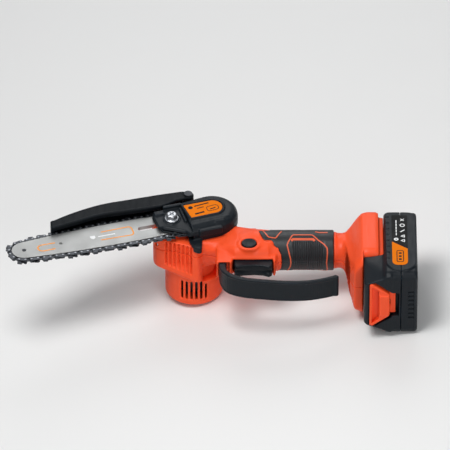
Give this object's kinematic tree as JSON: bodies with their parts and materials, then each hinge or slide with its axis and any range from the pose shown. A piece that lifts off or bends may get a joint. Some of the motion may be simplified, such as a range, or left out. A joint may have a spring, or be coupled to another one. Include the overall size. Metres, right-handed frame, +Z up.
{
  "type": "chainsaw",
  "caption": "Compact battery chainsaw with a short guide bar, swinging chain guard, hand guard, trigger with lock-off and a slide-on battery, lying on its side.",
  "frame": {"origin": "middle of the bounding box on the ground, under the tool as it lies on its motor end and battery edge, sprocket cover up", "axes": "+X runs from the bar nose to the battery, +Y from the trigger side to the back of the handle, +Z is up"},
  "size_m": [0.411, 0.1526, 0.1103],
  "materials": {
    "bar_steel": "satin ground steel",
    "black": "moulded black nylon, fine texture",
    "board": "glass-fibre board",
    "brass": "plain brass",
    "cell_wrap": "shrink-wrapped steel cell",
    "chain_steel": "dark oiled steel",
    "copper": "copper windings on a steel core",
    "orange": "moulded orange-red nylon, satin",
    "rubber": "soft black overmould, matt",
    "zinc": "zinc-plated or bright steel"
  },
  "bodies": {
    "body": {"bar_bolt": "zinc", "bar_nut": "zinc", "gear_plate": "zinc", "grip_lower_sleeve": "rubber", "grip_upper_sleeve": "rubber", "guard_pivot_screw": "zinc", "hand_guard": "black", "housing_lower_shell": "orange", "housing_screw_1": "zinc", "housing_screw_2": "zinc", "housing_screw_3": "zinc", "housing_screw_4": "zinc", "housing_upper_shell": "orange", "lock_off_spring": "zinc", "motor_can": "zinc", "motor_end_bell": "black", "motor_front_bearing": "zinc", "output_bearing_lower": "zinc", "output_bearing_upper": "zinc", "saw_chain": "chain_steel", "side_cover": "black", "switch_module": "black", "terminal_blade_negative": "brass", "terminal_blade_positive": "brass", "terminal_block": "black", "trigger_spring": "zinc"},
    "trigger": {"trigger": "black"},
    "lock_off_button": {"lock_off_button": "black"},
    "output_drive": {"output_shaft": "zinc", "output_gear": "zinc", "drive_sprocket": "zinc", "sprocket_washer": "zinc", "sprocket_clip": "zinc"},
    "motor_rotor": {"motor_shaft": "zinc", "motor_armature": "copper", "motor_pinion": "zinc", "cooling_fan": "black"},
    "bar": {"guide_bar": "bar_steel", "nose_rivet": "zinc", "tension_block": "zinc"},
    "nose_sprocket": {"nose_sprocket": "zinc"},
    "tension_screw": {"tension_screw": "zinc"},
    "upper_guard": {"upper_guard": "black"},
    "battery": {"battery_top": "black", "battery_base": "black", "battery_board": "board", "battery_release_spring": "zinc", "battery_cell_1": "cell_wrap", "battery_cell_2": "cell_wrap", "battery_cell_3": "cell_wrap", "battery_cell_4": "cell_wrap", "battery_cell_5": "cell_wrap"},
    "battery_release_button": {"battery_release_button": "orange"}
  },
  "joints": [
    {"name": "trigger_pull", "type": "slide", "parent": "body", "child": "trigger", "axis": [0, 1, 0], "range_m": [0, 0.005], "stiffness_N_per_m": 500, "springref_m": -0.004, "deforming": ["trigger_spring"]},
    {"name": "lock_off_press", "type": "slide", "parent": "body", "child": "lock_off_button", "axis": [-0.1281, 0, -0.9918], "range_m": [0, 0.0035], "stiffness_N_per_m": 400, "springref_m": -0.003, "deforming": ["lock_off_spring"]},
    {"name": "output_spin", "type": "hinge", "parent": "body", "child": "output_drive", "pos_m": [-0.00132, 0.0425, 0.07292], "axis": [0.1281, 0, 0.9918], "continuous": true},
    {"name": "rotor_spin", "type": "hinge", "parent": "body", "child": "motor_rotor", "pos_m": [-0.02437, 0.03067, 0.03556], "axis": [0.1281, 0, 0.9918], "continuous": true},
    {"name": "bar_tension_slide", "type": "slide", "parent": "body", "child": "bar", "axis": [0.9509, 0.284, -0.1228], "range_m": [0, 0.003]},
    {"name": "nose_sprocket_spin", "type": "hinge", "parent": "bar", "child": "nose_sprocket", "pos_m": [-0.18591, -0.01294, 0.10482], "axis": [0.1281, 0, 0.9918], "continuous": true},
    {"name": "tension_screw_turn", "type": "hinge", "parent": "body", "child": "tension_screw", "pos_m": [-0.047, 0.01967, 0.07357], "axis": [0.9509, 0.284, -0.1228], "range_deg": [-1543.5, 0]},
    {"name": "guard_swing", "type": "hinge", "parent": "body", "child": "upper_guard", "pos_m": [-0.02385, 0.0682, 0.08591], "axis": [0.1281, 0, 0.9918], "range_deg": [-38, 0], "stiffness_Nm_per_rad": 0.12, "springref_deg": 17.19},
    {"name": "battery_slide", "type": "slide", "parent": "body", "child": "battery", "axis": [0, -1, 0], "range_m": [0, 0.075]},
    {"name": "battery_release_press", "type": "slide", "parent": "battery", "child": "battery_release_button", "axis": [0.9918, 0, -0.1281], "range_m": [0, 0.003], "stiffness_N_per_m": 700, "springref_m": -0.003, "deforming": ["battery_release_spring"]}
  ],
  "couplings": [
    {"joint": "rotor_spin", "follows": "output_spin", "ratio": -3.9091},
    {"joint": "nose_sprocket_spin", "follows": "output_spin", "ratio": 1},
    {"joint": "tension_screw_turn", "follows": "bar_tension_slide", "rad_per_m": -8976}
  ]
}
